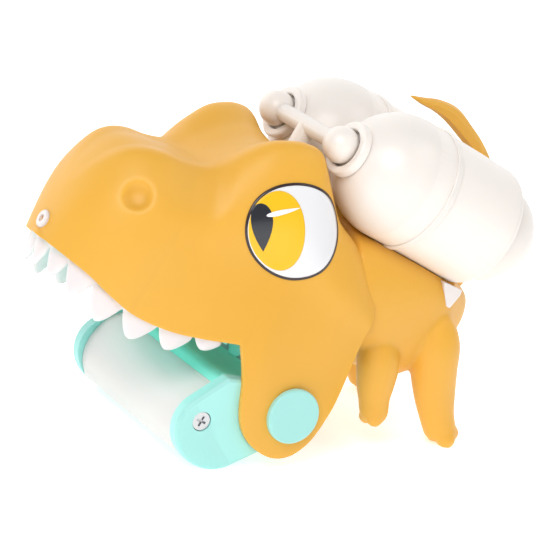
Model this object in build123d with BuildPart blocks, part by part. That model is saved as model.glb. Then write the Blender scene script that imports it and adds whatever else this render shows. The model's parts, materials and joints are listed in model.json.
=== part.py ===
from build123d import *
import os
from math import cos, radians, sin, sqrt, tan

# Hand-pumped water squirter in the shape of a dinosaur, carrying two water tanks on its back.
# Everything is drawn level: X to the toy's left, Y to its tail, Z up, tank axes in the plane Z = 0.
# At the end the whole toy is leaned back by PITCH and put on the floor, nose towards -Y.

# ---- driving dimensions, millimetres and degrees ----
PITCH = 25.5                 # nose-up lean when it stands on its jaw and hind feet
WALL = 2.4                   # body shell wall
FIT = 0.05                   # radial gap of a running or seated round fit
SEAM = 0.1                   # gap between two seated pieces of one body
CLEAR = 0.35                 # gap between pieces that move past each other

TANK_R = 25.0
TANK_GAP = 2.4               # free space between the two tanks
TANK_WALL = 1.8
TANK_NOSE_Y = -24.0          # front end of a tank
TANK_NOSE_R = 9.0
TANK_DOME_Y = 0.0            # where the front dome meets the cylinder
TANK_REAR_Y = 48.0
TANK_SHOULDER = 4.4          # rounding of the rear shoulder
RIB_Y = 9.9                  # joint of the two tank mouldings, under the rib
RIB_WIDTH = 2.8
RIB_HEIGHT = 0.8
NECK_R = 16.3
CAP_R = 20.6                 # filler cap dome
PLUG_LENGTH = 8.0
CAP_TRAVEL = 16.0            # pull that frees the filler cap

BALL_R = 7.2
BALL_Y = -29.6
BAR_R = 3.6                  # crossbar between the two ball fittings
BAR_BORE_R = 2.2
SPIGOT_R = 4.0
COLLAR_R = 11.1
COLLAR_LENGTH = 3.4
OUTLET_LENGTH = 22.0         # manifold outlet, from the bar's axis down into the head

HINGE_Y = -2.75
HINGE_Z = -98.0
HINGE_PIN_R = 4.0
HINGE_BOSS_R = 10.6
JAW_SQUEEZE = 15.0           # jaw travel, degrees
CHEEK_X = 50.5               # outer face of the cheek plates
CHEEK_WALL = 2.4
JAW_SIDE_WALL = 5.6
LOBE_Y = -27.0
LOBE_Z = -117.0
LOBE_HALF_LENGTH = 17.3
LOBE_HALF_HEIGHT = 15.0
DISC_R = 10.9
DISC_HEIGHT = 2.2

PUMP_Z = -44.0               # pump axis, parallel to the tanks
PUMP_BORE_R = 9.0
PUMP_WALL = 1.5
PUMP_REAR_Y = 56.0
PISTON_LENGTH = 7.0
GLAND_FLANGE = 1.5
GLAND_DEPTH = 3.0
CRANK_TOP = 8.0              # crank above the cross pin
CRANK_HALF = 5.0
ROD_R = 3.0
CROSS_PIN_R = 2.0
SPRING_WIRE_R = 0.6

HOSE_R = 3.0
HOSE_BORE_R = 1.8
HOSE_X = 17.0                # both hoses pass this far beside the pump

NOZZLE_Z = -80.0
NOZZLE_R = 3.5
NOZZLE_BORE_R = 1.5
NOZZLE_TIP_Y = -111.6
NOZZLE_LENGTH = 15.0
PALATE_Z = -86.6             # underside of the mouth's roof
PALATE_WALL = 2.0
GUM_HEIGHT = 4.0
TAIL_HALF = 4.4

# ---- worked out ----
TANK_X = TANK_R + TANK_GAP / 2
JAW_SIDE_OUT = CHEEK_X - CHEEK_WALL - CLEAR
JAW_SIDE_IN = JAW_SIDE_OUT - JAW_SIDE_WALL
CRANK_ARM = PUMP_Z - HINGE_Z
# the pump starts just behind the crank's furthest swing, and the piston rests just inside it
CRANK_REACH = (CRANK_ARM + CRANK_TOP) * sin(radians(JAW_SQUEEZE)) + CRANK_HALF
PUMP_FRONT_Y = HINGE_Y + CRANK_REACH + GLAND_FLANGE + 2 * CLEAR
PISTON_Y = PUMP_FRONT_Y + 1.5 * GLAND_DEPTH
SIDES = {"left": 1, "right": -1}


def across(y):
    """Plane across the body at length y: local x is X, local y is Z."""
    return Plane.XZ.offset(-y)


def seen_from_left(x):
    """Plane along the body at width x: local x is Y, local y is Z."""
    return Plane.YZ.offset(x)


# ---- body forms ----
# y, half width at the bottom, half width and height of the flank,
# place and height of the brow or shoulder, height of the ridge
HEAD_ROWS = [
    (-110.0, 7.0, 11.0, -68.0, 6.0, -59.5, -58.0),
    (-105.0, 13.0, 19.5, -68.0, 11.0, -50.0, -48.0),
    (-97.0, 23.0, 28.0, -66.0, 17.0, -41.0, -39.0),
    (-85.0, 31.0, 33.5, -64.0, 20.0, -36.0, -34.0),
    (-70.0, 36.5, 36.5, -64.0, 24.0, -32.5, -31.0),
    (-57.0, 40.5, 38.5, -60.0, 29.0, -18.0, -23.0),
    (-45.0, 44.0, 40.5, -56.0, 31.0, -7.5, -13.0),
    (-32.0, 47.5, 43.0, -55.0, 32.0, -10.0, -13.0),
    (-18.0, 50.0, 45.5, -60.0, 34.0, -25.0, -24.0),
    (-4.0, 50.2, 46.5, -62.0, 35.0, -31.0, -27.5),
    (12.0, 49.0, 45.0, -62.0, 34.0, -40.0, -28.5),
]
HEAD_BOTTOM = -97.0
HEAD_REAR_Y = HEAD_ROWS[-1][0]
# y, bottom height, then as above
TORSO_ROWS = [
    (HEAD_REAR_Y + SEAM, -75.0, 27.0, 40.0, -58.0, 33.0, -38.0, -27.5),
    (30.0, -72.0, 24.0, 37.5, -54.0, 31.0, -33.0, -24.0),
    (50.0, -66.0, 19.0, 33.0, -48.0, 26.0, -29.0, -22.0),
    (64.0, -56.0, 17.0, 27.0, -43.0, 18.0, -27.0, -22.0),
    (74.0, -43.0, 5.0, 11.0, -35.0, 7.0, -27.5, -25.5),
]
# edge of the upper lip, seen from the side, from the nose to the corner of the mouth
LIP_LINE = [(-118.0, -84.5), (-108.0, -87.0), (-76.0, -93.8), (-45.0, -87.5), (-35.4, -83.8)]


def section(y, bottom, foot, flank, flank_z, brow, brow_z, ridge_z, inset):
    """Closed outline across the body: flat underneath, arched over flank, brow and ridge."""
    with BuildSketch(across(y)) as outline:
        with BuildLine():
            arch = Spline(
                (foot - inset, bottom),
                (flank - inset, flank_z),
                (brow - 0.7 * inset, brow_z - 0.7 * inset),
                (0, ridge_z - inset),
                (0.7 * inset - brow, brow_z - 0.7 * inset),
                (inset - flank, flank_z),
                (inset - foot, bottom),
            )
            Line(arch @ 1, arch @ 0)
        make_face()
    return outline.sketch


def head_form(inset):
    """The whole head as a solid, its flanks and top moved in by inset, its nose pulled back."""
    with BuildPart() as form:
        faces = []
        for y, foot, flank, flank_z, brow, brow_z, ridge_z in HEAD_ROWS:
            at = y + inset if y == HEAD_ROWS[0][0] else y
            faces.append(section(at, HEAD_BOTTOM, foot, flank, flank_z, brow, brow_z, ridge_z, inset))
        loft(sections=faces)
    return form.part


def torso_form(inset):
    """The trunk as a solid, its sides, top and belly moved in by inset."""
    with BuildPart() as form:
        faces = []
        for y, bottom, foot, flank, flank_z, brow, brow_z, ridge_z in TORSO_ROWS:
            at = y - inset if y == TORSO_ROWS[-1][0] else y
            faces.append(section(at, bottom + inset, foot, flank, flank_z, brow, brow_z, ridge_z, inset))
        loft(sections=faces)
    return form.part


def tank_profile(inset):
    """Half outline of the left tank, from nose to rear face, moved in by inset."""
    dome_height = TANK_DOME_Y - TANK_NOSE_Y
    step = TANK_R - TANK_NOSE_R
    dome_r = (step**2 + dome_height**2) / (2 * step)
    nose_r = TANK_R - dome_r + sqrt((dome_r - inset) ** 2 - (dome_height - inset) ** 2)
    side_r = TANK_R - inset
    shoulder_y = TANK_REAR_Y - TANK_SHOULDER
    with BuildSketch(TANK_PLANE) as outline:
        with BuildLine():
            Line((0, TANK_NOSE_Y + inset), (nose_r, TANK_NOSE_Y + inset))
            TangentArc((side_r, TANK_DOME_Y), (nose_r, TANK_NOSE_Y + inset), tangent=(0, -1))
            Line((side_r, TANK_DOME_Y), (side_r, shoulder_y))
            TangentArc((side_r, shoulder_y), (TANK_R - TANK_SHOULDER, TANK_REAR_Y - inset), tangent=(0, 1))
            Line((TANK_R - TANK_SHOULDER, TANK_REAR_Y - inset), (0, TANK_REAR_Y - inset))
            Line((0, TANK_REAR_Y - inset), (0, TANK_NOSE_Y + inset))
        make_face()
    return outline.sketch


def ring(plane, centre, outer_r, inner_r, length):
    """A plain ring that stands on a plane."""
    with BuildPart() as piece:
        with BuildSketch(plane):
            with Locations(centre):
                Circle(outer_r)
                Circle(inner_r, mode=Mode.SUBTRACT)
        extrude(amount=length)
    return piece.part


def block(plane, low, high, length):
    """A box that stands on a plane, between two corners given in the plane."""
    with BuildPart() as piece:
        with BuildSketch(plane):
            with Locations(((low[0] + high[0]) / 2, (low[1] + high[1]) / 2)):
                Rectangle(high[0] - low[0], high[1] - low[1])
        extrude(amount=length)
    return piece.part


def rod(plane, centre, radius, length):
    """A round bar that stands on a plane."""
    with BuildPart() as piece:
        with BuildSketch(plane):
            with Locations(centre):
                Circle(radius)
        extrude(amount=length)
    return piece.part


def side_plate(points, inner_x, outer_x):
    """A plate between two widths, its outline a smooth closed curve seen from the left."""
    with BuildPart() as piece:
        with BuildSketch(seen_from_left(inner_x)):
            with BuildLine():
                Spline(*points, periodic=True)
            make_face()
        extrude(amount=outer_x - inner_x)
    return piece.part


TANK_PLANE = Plane(origin=(TANK_X, 0, 0), z_dir=(0, 0, 1))
TANK_AXIS = Axis((TANK_X, 0, 0), (0, 1, 0))
RIB_PLANE = across(RIB_Y)

head_outer = head_form(0)
head_inner = head_form(WALL)
torso_outer = torso_form(0)
torso_inner = torso_form(WALL)

# ---- tanks, their rib, collar and filler cap: left ones, mirrored at the end ----
with BuildPart() as tank:
    revolve(profiles=tank_profile(0), axis=TANK_AXIS)
    revolve(profiles=tank_profile(TANK_WALL), axis=TANK_AXIS, mode=Mode.SUBTRACT)
    add(rod(across(TANK_REAR_Y + 1), (TANK_X, 0), NECK_R, TANK_WALL + 2), mode=Mode.SUBTRACT)
    add(rod(across(TANK_NOSE_Y + 4), (TANK_X, 0), SPIGOT_R + FIT, 6), mode=Mode.SUBTRACT)

with BuildPart() as tank_space:
    revolve(profiles=tank_profile(-SEAM), axis=TANK_AXIS)
    mirror(about=Plane.YZ)

with BuildPart() as tank_front:
    add(tank.part)
    split(bisect_by=RIB_PLANE, keep=Keep.TOP)

with BuildPart() as tank_rear:
    add(tank.part)
    split(bisect_by=RIB_PLANE, keep=Keep.BOTTOM)

with BuildPart() as tank_rib:
    add(ring(across(RIB_Y + RIB_WIDTH / 2), (TANK_X, 0), TANK_R + RIB_HEIGHT, TANK_R + FIT, RIB_WIDTH))
    fillet(tank_rib.edges().filter_by(GeomType.CIRCLE).group_by(SortBy.RADIUS)[-1], RIB_HEIGHT / 2)

with BuildPart() as tank_collar:
    add(ring(across(TANK_NOSE_Y), (TANK_X, 0), COLLAR_R, BALL_R + CLEAR, COLLAR_LENGTH))
    fillet(tank_collar.edges().group_by(Axis.Y)[0], 1.0)
    add(rod(seen_from_left(0), (BALL_Y, 0), BAR_R + SEAM, TANK_X), mode=Mode.SUBTRACT)

CAP_Y = TANK_REAR_Y + CLEAR
PLUG_R = NECK_R - CLEAR
SEAL_Y = TANK_REAR_Y - TANK_WALL - 0.5
SEAL_WIDTH = 2.4
SEAL_DEPTH = 1.3
with BuildPart() as filler_cap:
    with BuildSketch(TANK_PLANE):
        with BuildLine():
            Line((CAP_R, CAP_Y), (0, CAP_Y))
            Line((0, CAP_Y), (0, CAP_Y + CAP_R))
            TangentArc((CAP_R, CAP_Y), (0, CAP_Y + CAP_R), tangent=(0, 1))
        make_face()
    revolve(axis=TANK_AXIS)
    with BuildSketch(TANK_PLANE):
        with BuildLine():
            hollow_y = CAP_Y + TANK_WALL
            hollow_r = sqrt((CAP_R - TANK_WALL) ** 2 - TANK_WALL**2)
            Line((hollow_r, hollow_y), (0, hollow_y))
            Line((0, hollow_y), (0, CAP_Y + CAP_R - TANK_WALL))
            RadiusArc((hollow_r, hollow_y), (0, CAP_Y + CAP_R - TANK_WALL), -(CAP_R - TANK_WALL))
        make_face()
    revolve(axis=TANK_AXIS, mode=Mode.SUBTRACT)
    add(rod(across(CAP_Y), (TANK_X, 0), PLUG_R, PLUG_LENGTH))
    add(rod(across(CAP_Y - TANK_WALL), (TANK_X, 0), PLUG_R - 3.0, PLUG_LENGTH), mode=Mode.SUBTRACT)
    add(
        ring(across(SEAL_Y + SEAL_WIDTH / 2), (TANK_X, 0), PLUG_R + 1, PLUG_R - SEAL_DEPTH, SEAL_WIDTH),
        mode=Mode.SUBTRACT,
    )

with BuildPart() as cap_seal:
    seal_start = across(SEAL_Y + SEAL_WIDTH / 2 - FIT)
    add(ring(seal_start, (TANK_X, 0), NECK_R - FIT, PLUG_R - SEAL_DEPTH + FIT, SEAL_WIDTH - 2 * FIT))

# tapered clips that tie each tank down to the trunk
CLIP_X = TANK_X + 4.5
CLIP_WIDTH = 4.0
CLIP = [(39.5, -25.6), (49.0, -25.0), (49.5, -27.0), (48.2, -33.5), (46.4, -33.5), (41.0, -28.0)]
with BuildPart() as tank_clip:
    with BuildSketch(seen_from_left(CLIP_X)):
        with BuildLine():
            Polyline(*CLIP, close=True)
        make_face()
    extrude(amount=CLIP_WIDTH)
    fillet(tank_clip.edges().filter_by(Axis.X).group_by(Axis.Z)[0], 0.8)
    add(tank_space.part, mode=Mode.SUBTRACT)
    add(torso_outer, mode=Mode.SUBTRACT)

# ---- manifold: two ball fittings, a crossbar and an outlet down into the head ----
with BuildPart() as tank_manifold:
    add(rod(seen_from_left(-TANK_X), (BALL_Y, 0), BAR_R, 2 * TANK_X))
    add(rod(Plane.XY.offset(-OUTLET_LENGTH), (0, BALL_Y), SPIGOT_R, OUTLET_LENGTH))
    with Locations((TANK_X, BALL_Y, 0), (-TANK_X, BALL_Y, 0)):
        Sphere(BALL_R)
    for x in (TANK_X, -TANK_X):
        add(rod(across(TANK_NOSE_Y + 8), (x, 0), BALL_R, 8 + SEAM), mode=Mode.SUBTRACT)
        add(rod(across(TANK_NOSE_Y + 3), (x, 0), SPIGOT_R, TANK_NOSE_Y + 3 - BALL_Y))
    for x in (TANK_X, -TANK_X):
        add(rod(across(TANK_NOSE_Y + 4), (x, 0), HOSE_BORE_R, TANK_NOSE_Y + 4 - BALL_Y), mode=Mode.SUBTRACT)
    add(rod(seen_from_left(-TANK_X), (BALL_Y, 0), BAR_BORE_R, 2 * TANK_X), mode=Mode.SUBTRACT)
    add(
        rod(Plane.XY.offset(-OUTLET_LENGTH - 1), (0, BALL_Y), HOSE_BORE_R, OUTLET_LENGTH + 1),
        mode=Mode.SUBTRACT,
    )

# ---- head shells ----
EYE_Y = -38.5
EYE_Z = -37.5
EYE_HALF_LENGTH = 16.5
EYE_HALF_HEIGHT = 17.5
EYE_SEAT_X = 33.0
EYE_FACE_X = 43.0


def eye_plug(grow, outer_x):
    """Upright oval bar at the left eye."""
    with BuildPart() as piece:
        with BuildSketch(seen_from_left(EYE_SEAT_X)):
            with Locations((EYE_Y, EYE_Z)):
                Ellipse(EYE_HALF_LENGTH + grow, EYE_HALF_HEIGHT + grow)
        extrude(amount=outer_x - EYE_SEAT_X)
    return piece.part


HEAD_SCREWS = [(-88.0, -50.0), (-58.0, -38.0), (-16.0, -70.0)]
TORSO_SCREWS = [(22.0, -65.0), (46.0, -61.0), (69.5, -33.0)]
SCREW_R = 1.5
SCREW_HEAD_R = 3.0
SCREW_HEAD_X = -14.0         # where the screw heads sit, on the right-hand side
SCREW_TIP_X = 9.0
BOSS_R = 4.2
JAW_ROOM_Z = HINGE_Z + HINGE_BOSS_R + 3.0
JAW_ROOM_Y = -37.0



def below_lip():
    """Everything under the edge of the upper lip, forward of the mouth's corner."""
    with BuildPart() as piece:
        with BuildSketch(seen_from_left(-60)):
            with BuildLine():
                Spline(*LIP_LINE)
                Polyline(LIP_LINE[-1], (LIP_LINE[-1][0], -130), (LIP_LINE[0][0], -130), LIP_LINE[0])
            make_face()
        extrude(amount=120)
    return piece.part


def bosses(points, form):
    """Screw bosses across a form, drilled for the screws, with their heads' wells on the right."""
    with BuildPart() as piece:
        for point in points:
            add(rod(seen_from_left(-60), point, BOSS_R, 120))
        add(form, mode=Mode.INTERSECT)
    return piece.part


def screw_holes(points):
    """Shank holes and head wells for the shell screws."""
    with BuildPart() as piece:
        for point in points:
            add(rod(seen_from_left(-60), point, SCREW_HEAD_R + 0.2, SCREW_HEAD_X + 60))
            add(rod(seen_from_left(-60), point, SCREW_R + 0.1, SCREW_TIP_X + 61))
    return piece.part


jaw_room = block(
    seen_from_left(-JAW_SIDE_OUT - CLEAR),
    (JAW_ROOM_Y, HEAD_BOTTOM - 40),
    (HEAD_REAR_Y + 20, JAW_ROOM_Z),
    2 * (JAW_SIDE_OUT + CLEAR),
)
CHEEK = [
    (-37.0, -64.0), (-35.4, -83.8), (-29.7, -94.2), (-25.0, -104.9), (-19.5, -112.5), (-12.0, -116.2),
    (-4.0, -117.0), (4.0, -114.0), (9.4, -108.0), (11.8, -98.0), (11.9, -80.0), (9.0, -66.0),
    (-14.0, -58.0),
]

with BuildPart() as head:
    add(head_outer)
    add(head_inner, mode=Mode.SUBTRACT)
    add(bosses(HEAD_SCREWS, head_outer))
    with BuildSketch(seen_from_left(CHEEK_X - CHEEK_WALL - 2.6)):
        with BuildLine():
            Spline(*CHEEK, periodic=True)
        make_face()
    cheek = extrude(amount=CHEEK_WALL + 2.6)
    mirror(cheek, about=Plane.YZ)
    add(jaw_room, mode=Mode.SUBTRACT)
    add(below_lip(), mode=Mode.SUBTRACT)
    add(tank_space.part, mode=Mode.SUBTRACT)
    add(screw_holes(HEAD_SCREWS), mode=Mode.SUBTRACT)
    add(rod(Plane.XY.offset(-OUTLET_LENGTH), (0, BALL_Y), SPIGOT_R + CLEAR, 30), mode=Mode.SUBTRACT)
    add(rod(across(-90), (0, NOZZLE_Z), NOZZLE_R + FIT, 30), mode=Mode.SUBTRACT)
    for side in SIDES.values():
        eye_hole = eye_plug(SEAM, 60)
        add(eye_hole if side > 0 else eye_hole.mirror(Plane.YZ), mode=Mode.SUBTRACT)
    add(
        rod(seen_from_left(-60), (HINGE_Y, HINGE_Z), HINGE_PIN_R + FIT, 120),
        mode=Mode.SUBTRACT,
    )

# ---- trunk shells, with two ribs that hold the pump ----
RIB_YS = (26.0, 46.0)
PUMP_R = PUMP_BORE_R + PUMP_WALL
with BuildPart() as torso:
    add(torso_outer)
    add(torso_inner, mode=Mode.SUBTRACT)
    add(block(across(TORSO_ROWS[0][0] + WALL), (-26, -68), (26, -32), WALL), mode=Mode.SUBTRACT)
    add(bosses(TORSO_SCREWS, torso_outer))
    for y in RIB_YS:
        with BuildPart(mode=Mode.PRIVATE) as rib:
            add(torso_outer)
            add(block(across(y + WALL / 2), (-60, -90), (60, 0), WALL), mode=Mode.INTERSECT)
        add(rib.part)
    add(tank_space.part, mode=Mode.SUBTRACT)
    add(screw_holes(TORSO_SCREWS), mode=Mode.SUBTRACT)
    add(rod(across(PUMP_REAR_Y), (0, PUMP_Z), PUMP_R + FIT, 60), mode=Mode.SUBTRACT)
    for side in SIDES.values():
        add(rod(across(PUMP_REAR_Y), (side * HOSE_X, PUMP_Z), HOSE_R + 2 * CLEAR, 60), mode=Mode.SUBTRACT)

# ---- limbs and tail: solid mouldings pegged onto the trunk ----
ARM = [
    (22.0, -60.0), (25.0, -70.0), (32.0, -79.0), (38.0, -87.5), (42.0, -90.5), (47.0, -90.0),
    (50.5, -85.5), (47.5, -77.0), (44.0, -68.0), (36.0, -58.0), (27.0, -55.5),
]
LEG = [
    (42.0, -41.0), (41.5, -52.0), (50.0, -62.0), (58.0, -70.5), (66.0, -79.5), (70.5, -85.5), (77.5, -87.0),
    (85.5, -80.0), (84.5, -73.5), (75.0, -66.0), (71.0, -58.0), (66.0, -46.0), (58.0, -36.0), (49.0, -34.0),
]
TAIL = [
    (4.7, 31.0), (12.0, 34.0), (19.0, 36.6), (28.0, 37.2), (38.0, 35.5), (50.0, 33.0), (66.0, 29.5), (79.0, 21.0),
    (86.0, 6.0), (85.0, -10.0), (79.0, -22.0), (74.0, -31.0), (71.2, -29.0), (70.6, -22.0), (73.5, -8.0),
    (73.6, 6.0), (68.0, 17.5), (57.0, 24.5), (46.0, 28.0), (34.0, 30.0), (22.0, 31.0), (12.0, 30.0),
]
LIMB_IN_X = 22.0
ARM_OUT_X = 38.0
LEG_OUT_X = 39.0
ground_height = LOBE_Z * cos(radians(PITCH)) - LOBE_Y * sin(radians(PITCH))
ground_height -= sqrt((LOBE_HALF_LENGTH * sin(radians(PITCH))) ** 2 + (LOBE_HALF_HEIGHT * cos(radians(PITCH))) ** 2)
GROUND = Plane(
    origin=(0, -ground_height * sin(radians(PITCH)), ground_height * cos(radians(PITCH))),
    z_dir=(0, -sin(radians(PITCH)), cos(radians(PITCH))),
)

with BuildPart() as arm:
    add(side_plate(ARM, LIMB_IN_X, ARM_OUT_X))
    fillet(arm.faces().sort_by(Axis.X)[-1].edges(), 2.0)
    add(torso_outer, mode=Mode.SUBTRACT)
    add(head_outer, mode=Mode.SUBTRACT)

with BuildPart() as leg:
    add(side_plate(LEG, LIMB_IN_X, LEG_OUT_X))
    fillet(leg.faces().sort_by(Axis.X)[-1].edges(), 2.0)
    add(torso_outer, mode=Mode.SUBTRACT)
    add(tank_space.part, mode=Mode.SUBTRACT)
    split(bisect_by=GROUND, keep=Keep.TOP)

with BuildPart() as tail:
    add(side_plate(TAIL, -TAIL_HALF, TAIL_HALF))
    add(torso_outer, mode=Mode.SUBTRACT)

# ---- mouth: palate, teeth, eyes ----
TEETH_Y = [-105.0, -98.5, -88.0, -74.5, -60.5, -48.0]
TOOTH_LENGTHS = [11.0, 11.5, 12.5, 11.5, 11.0, 8.5]
TOOTH_R = 4.6
TOOTH_TIP_R = 1.6
GUM_WIDTH = 4.6
PALATE_REAR_Y = -38.0


def foot_half_width(y):
    """Half width of the head's underside at length y."""
    for near, far in zip(HEAD_ROWS, HEAD_ROWS[1:]):
        if near[0] <= y <= far[0]:
            share = (y - near[0]) / (far[0] - near[0])
            return near[1] + share * (far[1] - near[1])
    raise ValueError("outside the head")


def lip_plan(inset):
    """The mouth seen from below, moved in by inset."""
    nose_y = HEAD_ROWS[0][0] + inset
    flank = [(foot - inset, y) for y, foot, *_ in HEAD_ROWS if nose_y + 1 < y < PALATE_REAR_Y]
    rear = [(foot_half_width(PALATE_REAR_Y - 2) - inset, PALATE_REAR_Y - 2)]
    left = [point for point in flank if point[0] > 3] + rear
    with BuildSketch() as plan:
        with BuildLine():
            rim = Spline(*[(-x, y) for x, y in reversed(left)], (0, nose_y), *left)
            Line(rim @ 0, rim @ 1)
        make_face()
    return plan.sketch


with BuildPart() as palate:
    add(block(Plane.XY.offset(PALATE_Z), (-60, -120), (60, PALATE_REAR_Y), PALATE_WALL))
    add(head_inner, mode=Mode.INTERSECT)

with BuildPart() as upper_teeth:
    with BuildSketch(Plane.XY.offset(PALATE_Z - GUM_HEIGHT)):
        add(lip_plan(WALL + SEAM))
        add(lip_plan(WALL + GUM_WIDTH), mode=Mode.SUBTRACT)
    extrude(amount=GUM_HEIGHT - SEAM)
    add(head_form(WALL + SEAM), mode=Mode.INTERSECT)
    for side in SIDES.values():
        for y, length in zip(TEETH_Y, TOOTH_LENGTHS):
            reach = foot_half_width(y) - WALL - TOOTH_R - SEAM
            with Locations((side * reach, y + 1.5, PALATE_Z - GUM_HEIGHT - length / 2 + 1)):
                Cone(TOOTH_TIP_R, TOOTH_R, length)
    with Locations((0, HEAD_ROWS[0][0] + WALL + 5.5, PALATE_Z - GUM_HEIGHT - TOOTH_LENGTHS[0] / 2 + 1)):
        Cone(TOOTH_TIP_R, TOOTH_R, TOOTH_LENGTHS[0])
    add(head.part, mode=Mode.SUBTRACT)

with BuildPart() as eye:
    add(eye_plug(0, EYE_FACE_X))
    fillet(eye.faces().sort_by(Axis.X)[-1].edges(), 3.0)

# ---- nozzle ----
NOZZLE_FLANGE_R = 4.4
NOZZLE_FLANGE_Y = -104.0
with BuildPart() as nozzle:
    add(rod(across(NOZZLE_TIP_Y + NOZZLE_LENGTH), (0, NOZZLE_Z), NOZZLE_R, NOZZLE_LENGTH))
    add(rod(across(NOZZLE_FLANGE_Y + 2), (0, NOZZLE_Z), NOZZLE_FLANGE_R, 2))
    add(
        rod(across(NOZZLE_TIP_Y + NOZZLE_LENGTH + 1), (0, NOZZLE_Z), NOZZLE_BORE_R, NOZZLE_LENGTH + 2),
        mode=Mode.SUBTRACT,
    )
    fillet(nozzle.edges().group_by(Axis.Y)[0].sort_by(SortBy.RADIUS)[-1], 0.8)

with BuildPart() as nozzle_seal:
    add(ring(across(NOZZLE_FLANGE_Y), (0, NOZZLE_Z), NOZZLE_FLANGE_R, NOZZLE_R + FIT, 1.6))
    add(head.part, mode=Mode.SUBTRACT)

# ---- jaw ----
JAW_TOP = (-33.0, -98.0)
GRIP_X = JAW_SIDE_IN - SEAM
GRIP_FACE = [(-35.5, -103.5), (-39.5, -110.0), (-40.6, -117.5), (-38.5, -125.0), (-33.5, -130.5)]
GRIP_WALL = 2.4
AXLE_BORE_R = HINGE_PIN_R + FIT
JAW_SCREW_Y = -35.0
JAW_SCREW_Z = -115.8
JAW_SCREW_HEAD_R = 3.6
JAW_SCREW_SINK = 2.6


def grip_band(inset, thickness, ends):
    """Curved strip along the grip's face, between the jaw sides."""
    with BuildPart() as piece:
        with BuildSketch(seen_from_left(-ends)):
            with BuildLine():
                face = Spline(*[(y + inset, z) for y, z in GRIP_FACE])
                back = Spline(*[(y + inset + thickness, z) for y, z in GRIP_FACE])
                Line(face @ 0, back @ 0)
                Line(face @ 1, back @ 1)
            make_face()
        extrude(amount=2 * ends)
    return piece.part


with BuildPart() as jaw_side:
    with BuildSketch(seen_from_left(JAW_SIDE_IN)) as jaw_outline:
        with Locations((LOBE_Y, LOBE_Z)):
            Ellipse(LOBE_HALF_LENGTH, LOBE_HALF_HEIGHT)
        with Locations((HINGE_Y, HINGE_Z)):
            Circle(HINGE_BOSS_R)
        with Locations(JAW_TOP):
            Circle(1.5)
        make_hull()
    extrude(amount=JAW_SIDE_WALL)
    outer_rim = jaw_side.faces().sort_by(Axis.X)[-1].outer_wire().edges()
    fillet(outer_rim, 1.6)
    add(rod(seen_from_left(0), (HINGE_Y, HINGE_Z), AXLE_BORE_R, 60), mode=Mode.SUBTRACT)
    add(rod(seen_from_left(0), (JAW_SCREW_Y, JAW_SCREW_Z), SCREW_R + 0.1, 60), mode=Mode.SUBTRACT)
    add(
        rod(seen_from_left(JAW_SIDE_OUT - JAW_SCREW_SINK), (JAW_SCREW_Y, JAW_SCREW_Z), JAW_SCREW_HEAD_R + 0.3, 9),
        mode=Mode.SUBTRACT,
    )

with BuildPart() as jaw_grip:
    add(grip_band(0, GRIP_WALL, GRIP_X))

FLOOR = [(-36.5, -101.5), (-34.0, -98.5), (-28.0, -100.5), (-18.0, -103.0), (-9.0, -103.0), (-9.0, -106.0),
         (-19.0, -106.0), (-30.0, -104.0), (-33.0, -103.0)]
with BuildPart() as jaw_bridge:
    add(grip_band(GRIP_WALL + SEAM, 3.0, GRIP_X))
    with BuildSketch(seen_from_left(-GRIP_X)):
        with BuildLine():
            Polyline(*FLOOR, close=True)
        make_face()
    extrude(amount=2 * GRIP_X)
    for side in SIDES.values():
        boss_x = GRIP_X - 14 if side > 0 else -GRIP_X
        add(rod(seen_from_left(boss_x), (JAW_SCREW_Y, JAW_SCREW_Z), 3.6, 14))
    add(jaw_grip.part, mode=Mode.SUBTRACT)
    for side in SIDES.values():
        hole_x = GRIP_X - 11 if side > 0 else -GRIP_X - 1
        add(rod(seen_from_left(hole_x), (JAW_SCREW_Y, JAW_SCREW_Z), SCREW_R + 0.02, 12), mode=Mode.SUBTRACT)

with BuildPart() as jaw_screws:
    screw_seat = JAW_SIDE_OUT - JAW_SCREW_SINK + 0.02
    add(rod(seen_from_left(screw_seat), (JAW_SCREW_Y, JAW_SCREW_Z), JAW_SCREW_HEAD_R, 2.0))
    add(rod(seen_from_left(screw_seat - 13), (JAW_SCREW_Y, JAW_SCREW_Z), SCREW_R, 13))
    with BuildSketch(seen_from_left(screw_seat + 2.0)):
        with Locations((JAW_SCREW_Y, JAW_SCREW_Z)):
            Rectangle(4.2, 0.9)
            Rectangle(0.9, 4.2)
    extrude(amount=-1.2, mode=Mode.SUBTRACT)
    mirror(about=Plane.YZ)

# crank: two slotted arms up from the jaw to the pump rod
CRANK_X = 8.0
CRANK_WALL = 3.5
SLOT_R = CROSS_PIN_R + 0.45
with BuildPart() as jaw_crank:
    with BuildSketch(seen_from_left(CRANK_X)):
        with BuildLine():
            Polyline(
                (HINGE_Y - CRANK_HALF, PUMP_Z + CRANK_TOP),
                (HINGE_Y + CRANK_HALF, PUMP_Z + CRANK_TOP),
                (HINGE_Y + CRANK_HALF, HINGE_Z - 3),
                (-9.0, -102.9),
                (-18.0, -102.9),
                (-18.0, -99.0),
                (HINGE_Y - CRANK_HALF, HINGE_Z + 8),
                close=True,
            )
        make_face()
        with Locations((HINGE_Y, PUMP_Z + 1.0)):
            SlotCenterToCenter(3.4, 2 * SLOT_R, rotation=90, mode=Mode.SUBTRACT)
    extrude(amount=CRANK_WALL)
    mirror(about=Plane.YZ)
    add(block(seen_from_left(-CRANK_X - CRANK_WALL), (-18.0, -102.9), (-12.0, -99.5), 2 * (CRANK_X + CRANK_WALL)))

# ---- hinge pins with their mint discs ----
with BuildPart() as pivot_pin:
    add(rod(seen_from_left(JAW_SIDE_IN - 1), (HINGE_Y, HINGE_Z), HINGE_PIN_R, CHEEK_X - JAW_SIDE_IN + 1))

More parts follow.
